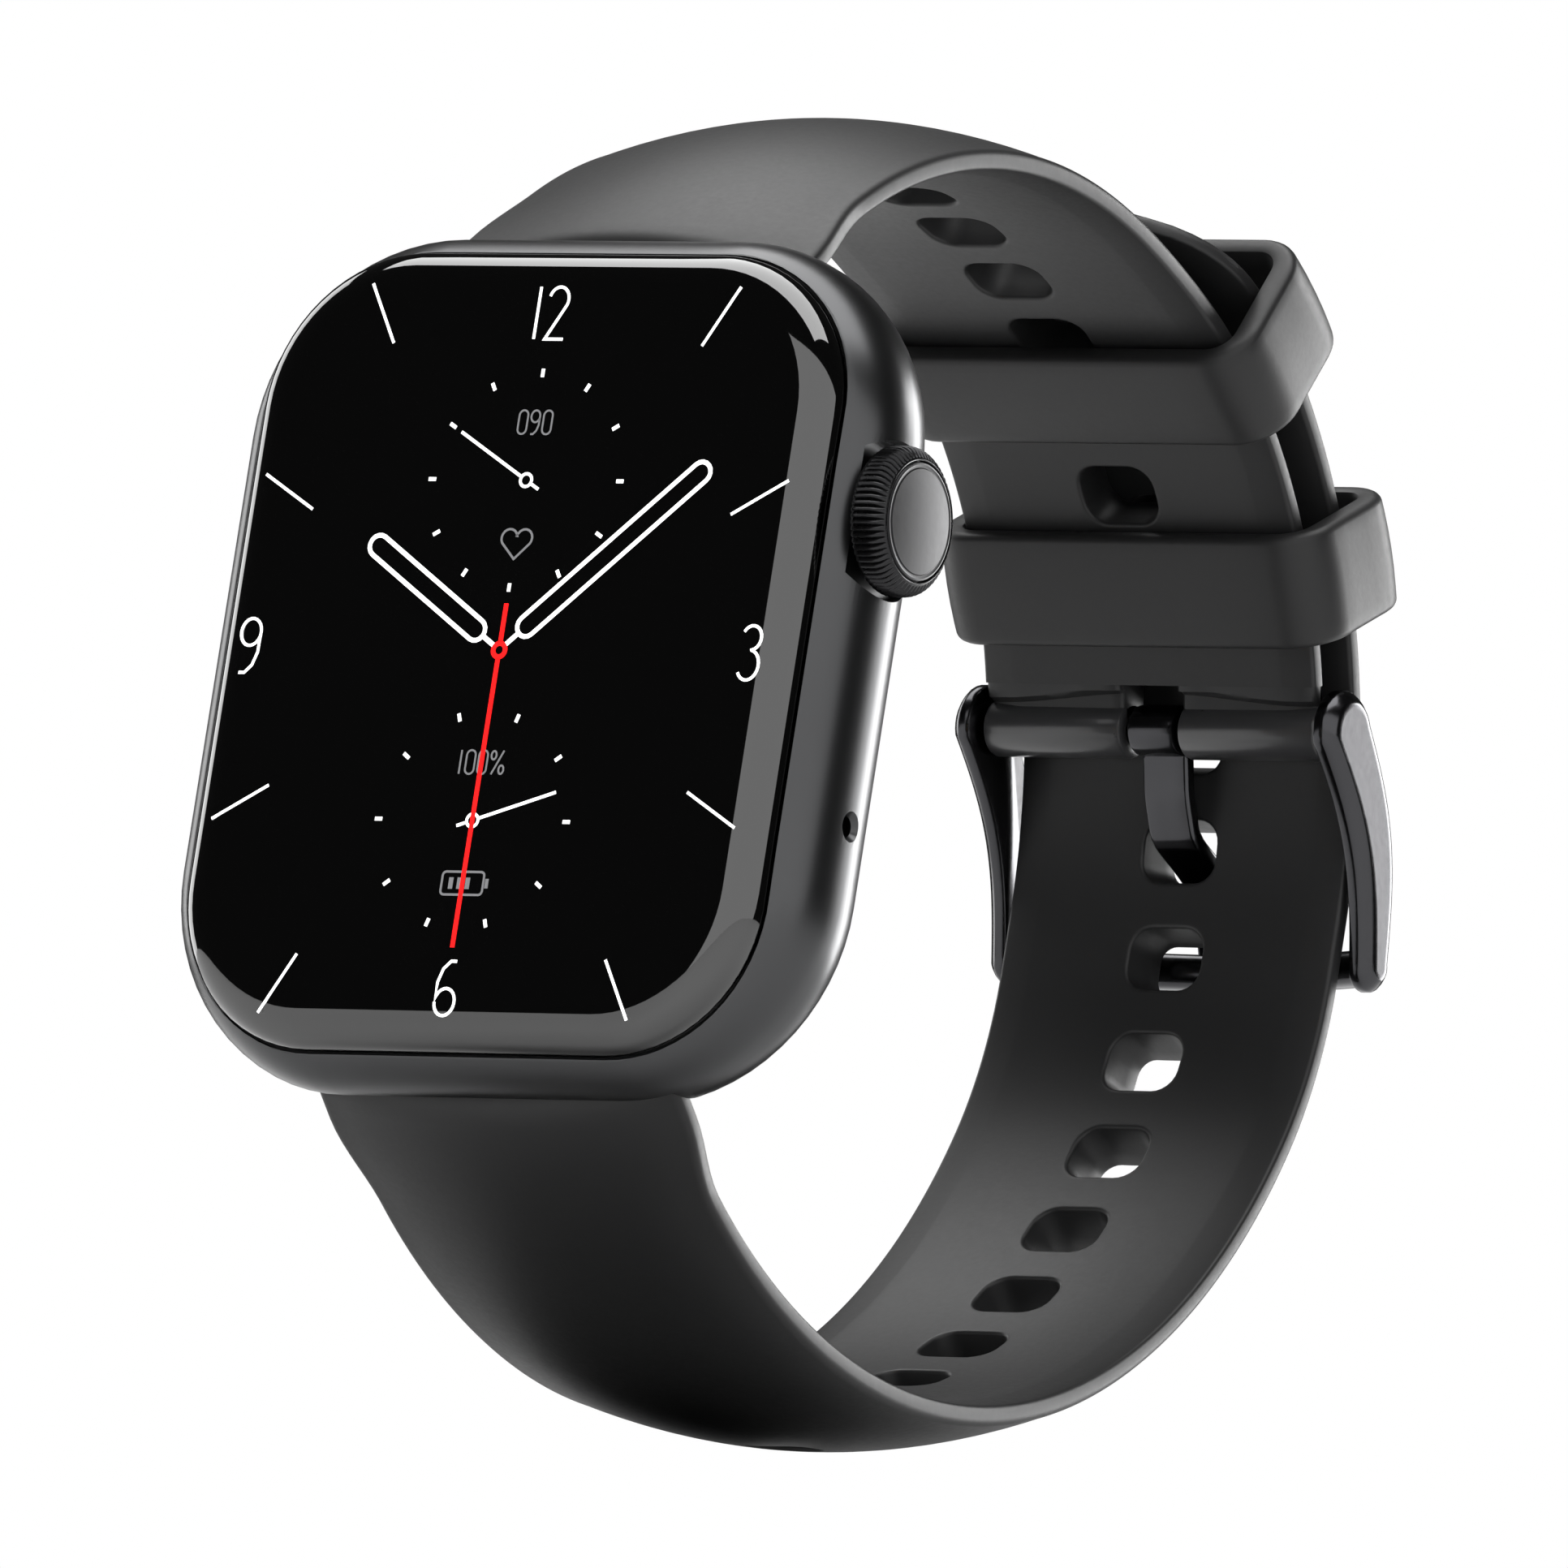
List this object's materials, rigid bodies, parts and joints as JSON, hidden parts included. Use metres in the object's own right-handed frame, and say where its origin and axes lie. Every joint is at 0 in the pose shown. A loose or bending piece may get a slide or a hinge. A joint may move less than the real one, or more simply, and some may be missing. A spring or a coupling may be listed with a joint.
{
  "type": "smartwatch",
  "caption": "Smartwatch: rounded rectangular case, domed glass, knurled crown, soft buckle strap with two keepers, closed into a wrist loop.",
  "frame": {"origin": "middle of the rear sensor window's flat outer face, where the watch rests on a wrist", "axes": "+X towards 3 o'clock and the crown, +Y out of the back towards the wrist so the display faces -Y, +Z towards 12 o'clock"},
  "size_m": [0.0404, 0.0725, 0.0699],
  "materials": {
    "case_metal": "fine satin, dark anodised",
    "cover_glass": "polished, black behind",
    "seal_rubber": "matte",
    "display": "lit dial on black",
    "sheet_steel": "brushed",
    "circuit_board": "solder mask",
    "chip": "moulded black",
    "battery_foil": "foil pouch",
    "flex_copper": "coated copper",
    "heavy_metal": "sintered",
    "brass_part": "turned",
    "crown_metal": "black anodised, knurled",
    "cap_metal": "fine turned",
    "back_ceramic": "satin black",
    "sensor_glass": "polished dark",
    "led": "clear",
    "strap_rubber": "soft matte black silicone",
    "buckle_metal": "polished black plating"
  },
  "bodies": {
    "watch": {"case_shell": "case_metal", "cover_glass": "cover_glass", "display_seal": "seal_rubber", "display_panel": "display", "mid_plate": "sheet_steel", "main_board": "circuit_board", "board_screws": "sheet_steel", "shield_can": "sheet_steel", "processor": "chip", "board_chips": "chip", "battery": "battery_foil", "battery_flex": "flex_copper", "display_flex": "flex_copper", "haptic_case": "sheet_steel", "speaker": "chip", "speaker_cone": "seal_rubber", "speaker_mesh": "sheet_steel", "radio_module": "sheet_steel", "microphone": "brass_part", "microphone_mesh": "sheet_steel", "crown_bush": "brass_part", "switch_body": "chip", "back_seal": "seal_rubber", "back_cover": "back_ceramic", "sensor_window": "sensor_glass", "charge_coil": "flex_copper", "sensor_board": "circuit_board", "led_emitters": "led", "photodiodes": "chip", "upper_strap": "strap_rubber", "lower_strap": "strap_rubber"},
    "crown_plunger": {"switch_plunger": "sheet_steel"},
    "crown": {"crown_knob": "crown_metal", "crown_cap": "cap_metal", "crown_stem": "sheet_steel", "crown_seals": "seal_rubber"},
    "haptic_weight": {"haptic_mass": "heavy_metal"},
    "release_top": {"release_button_top": "case_metal"},
    "release_bottom": {"release_button_bottom": "case_metal"},
    "latch_top": {"lug_latch_top": "sheet_steel"},
    "latch_bottom": {"lug_latch_bottom": "sheet_steel"},
    "buckle": {"buckle_frame": "buckle_metal", "buckle_pin": "sheet_steel"},
    "tongue": {"buckle_tongue": "buckle_metal"},
    "keeper_upper": {"keeper_upper": "strap_rubber"},
    "keeper_lower": {"keeper_lower": "strap_rubber"}
  },
  "joints": [
    {"name": "crown_press", "type": "slide", "parent": "watch", "child": "crown_plunger", "axis": [-1, 0, 0], "range_m": [0, 0.00035], "stiffness_N_per_m": 400},
    {"name": "crown_spin", "type": "hinge", "parent": "crown_plunger", "child": "crown", "pos_m": [0.01935, -0.0062, 0.008], "axis": [1, 0, 0], "continuous": true},
    {"name": "haptic_slide", "type": "slide", "parent": "watch", "child": "haptic_weight", "axis": [1, 0, 0], "range_m": [-0.0005, 0.0005], "stiffness_N_per_m": 100},
    {"name": "release_top_press", "type": "slide", "parent": "watch", "child": "release_top", "axis": [0, -1, 0], "range_m": [0, 0.0005], "stiffness_N_per_m": 300},
    {"name": "release_bottom_press", "type": "slide", "parent": "watch", "child": "release_bottom", "axis": [0, -1, 0], "range_m": [0, 0.0005], "stiffness_N_per_m": 300},
    {"name": "latch_top_slide", "type": "slide", "parent": "watch", "child": "latch_top", "axis": [0, -1, 0], "range_m": [0, 0.0005]},
    {"name": "latch_bottom_slide", "type": "slide", "parent": "watch", "child": "latch_bottom", "axis": [0, -1, 0], "range_m": [0, 0.0005]},
    {"name": "buckle_tilt", "type": "hinge", "parent": "watch", "child": "buckle", "pos_m": [0, 0.05194, 0.01252], "axis": [1, 0, 0], "range_deg": [0, 2.5]},
    {"name": "tongue_lift", "type": "hinge", "parent": "buckle", "child": "tongue", "pos_m": [0, 0.05194, 0.01252], "axis": [1, 0, 0], "range_deg": [0, 3]},
    {"name": "keeper_upper_slide", "type": "hinge", "parent": "watch", "child": "keeper_upper", "pos_m": [0, 0.02504, 0.00487], "axis": [1, 0, 0], "range_deg": [-5.5, 6]},
    {"name": "keeper_lower_slide", "type": "hinge", "parent": "watch", "child": "keeper_lower", "pos_m": [0, 0.02504, 0.00487], "axis": [1, 0, 0], "range_deg": [-4, 5.5]}
  ],
  "couplings": [
    {"joint": "latch_top_slide", "follows": "release_top_press", "ratio": 1},
    {"joint": "latch_bottom_slide", "follows": "release_bottom_press", "ratio": 1}
  ]
}
